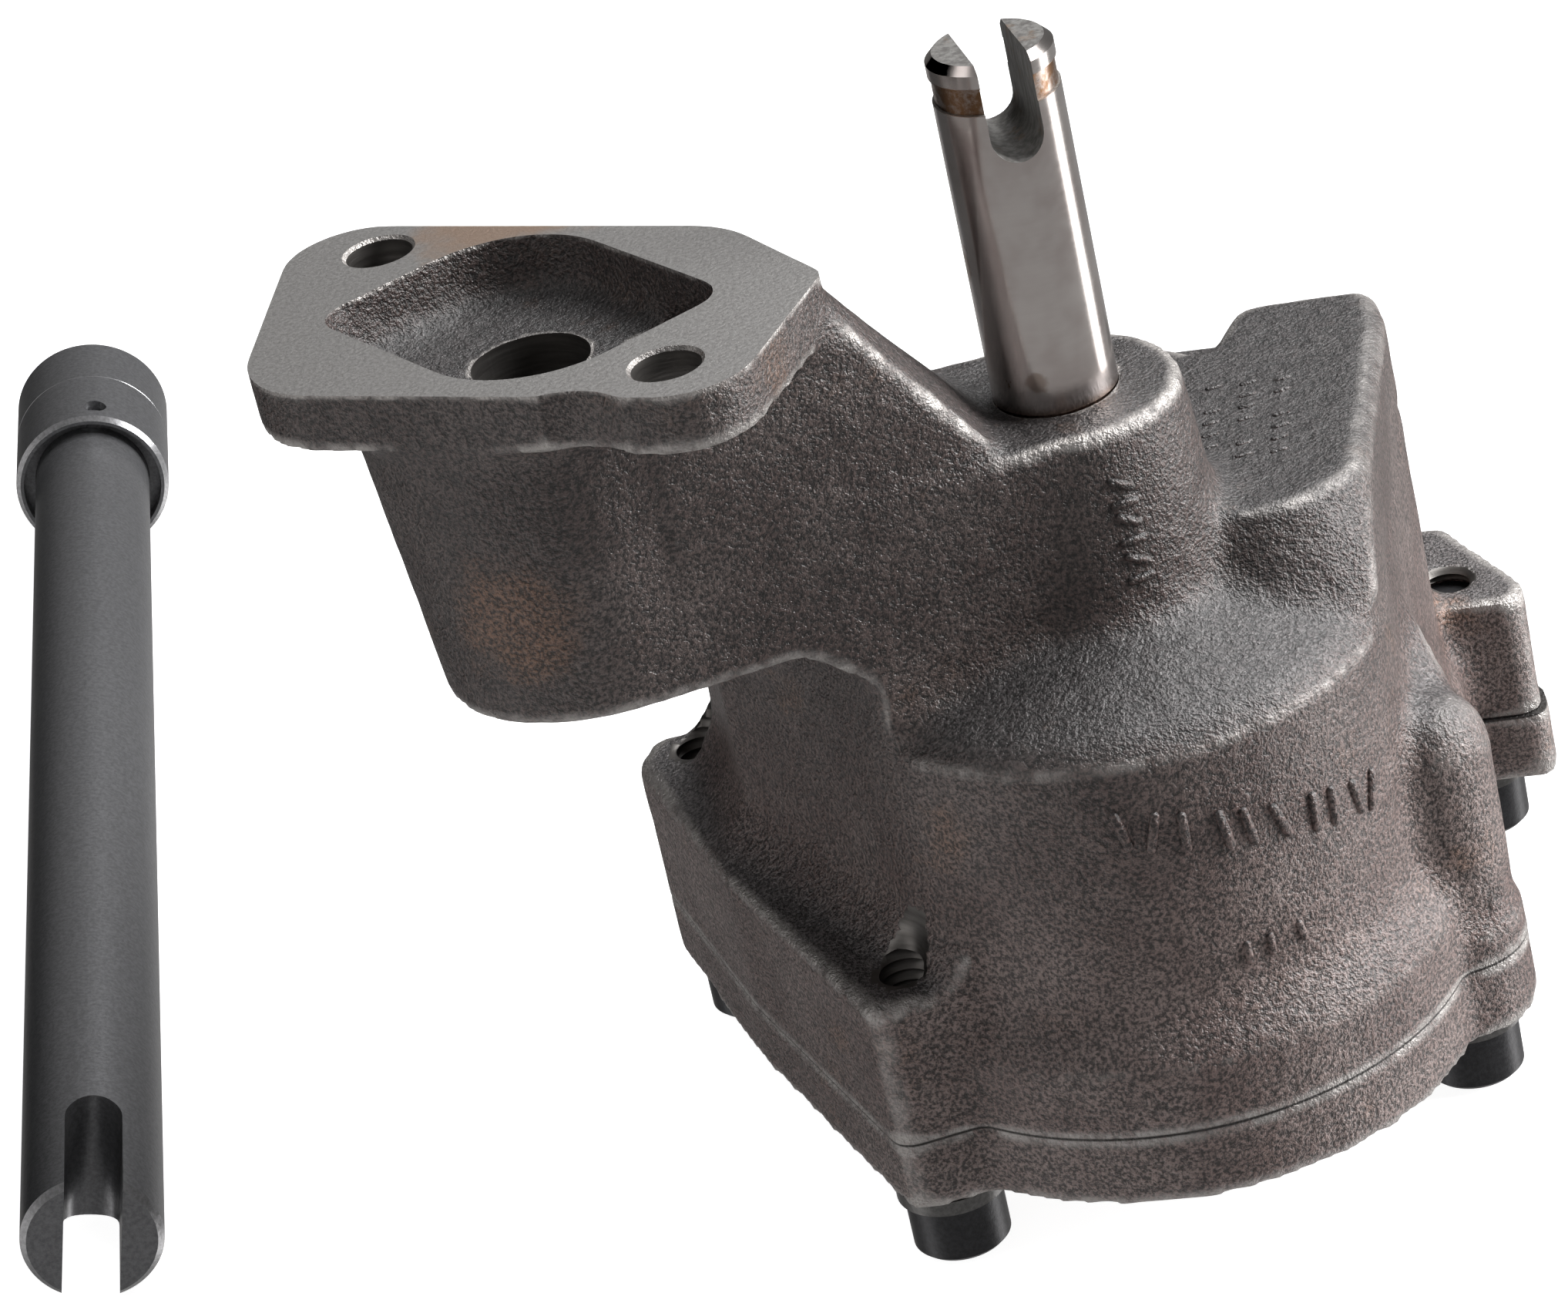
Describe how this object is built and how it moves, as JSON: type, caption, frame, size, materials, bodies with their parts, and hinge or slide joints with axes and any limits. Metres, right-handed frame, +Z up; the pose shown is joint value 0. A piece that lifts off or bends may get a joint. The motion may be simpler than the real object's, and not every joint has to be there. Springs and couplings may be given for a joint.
{
  "type": "engine oil pump",
  "caption": "Gear oil pump for a vee engine: cast body with mounting arm and flange, bolted cover, meshed gears, relief valve, slotted drive shaft and loose intermediate shaft.",
  "frame": {"origin": "on the drive shaft's axis, at the foot of its free end, 0.5 mm above the shaft boss", "axes": "+Z up along the drive shaft, out of the mounting face; +Y from the drive gear's centre to the idler gear's centre; the mounting arm reaches towards -X"},
  "size_m": [0.2124, 0.2303, 0.1216],
  "materials": {
    "iron_casting": "as cast, grainy, dark grey-brown",
    "polished_steel": "ground and polished",
    "gear_steel": "machined",
    "spring_steel": "satin",
    "black_oxide_steel": "black oxide, satin"
  },
  "bodies": {
    "housing": {"pump_body": "iron_casting", "pump_cover": "iron_casting", "idler_shaft": "gear_steel", "relief_pin": "spring_steel", "cover_bolt_1": "black_oxide_steel", "lock_washer_1": "spring_steel", "cover_bolt_2": "black_oxide_steel", "lock_washer_2": "spring_steel", "cover_bolt_3": "black_oxide_steel", "lock_washer_3": "spring_steel", "cover_bolt_4": "black_oxide_steel", "lock_washer_4": "spring_steel", "cover_bolt_5": "black_oxide_steel", "lock_washer_5": "spring_steel"},
    "drive": {"drive_shaft": "polished_steel", "drive_gear": "gear_steel"},
    "idler": {"idler_gear": "gear_steel"},
    "relief": {"relief_piston": "gear_steel", "relief_spring": "spring_steel"},
    "link": {"intermediate_shaft": "black_oxide_steel", "coupling_collar": "black_oxide_steel", "collar_pin": "black_oxide_steel"}
  },
  "joints": [
    {"name": "drive_spin", "type": "hinge", "parent": "housing", "child": "drive", "pos_m": [0, 0, 0], "axis": [0, 0, 1], "continuous": true},
    {"name": "idler_spin", "type": "hinge", "parent": "housing", "child": "idler", "pos_m": [0, 0.0381, 0], "axis": [0, 0, 1], "continuous": true},
    {"name": "relief_slide", "type": "slide", "parent": "housing", "child": "relief", "axis": [0, 1, 0], "range_m": [0, 0.01], "stiffness_N_per_m": 3000, "springref_m": -0.008, "deforming": ["relief_spring"]},
    {"name": "lift_off", "type": "slide", "parent": "housing", "child": "link", "axis": [0, 0, 1], "range_m": [0, 0.1]}
  ],
  "couplings": [
    {"joint": "idler_spin", "follows": "drive_spin", "ratio": -1}
  ]
}
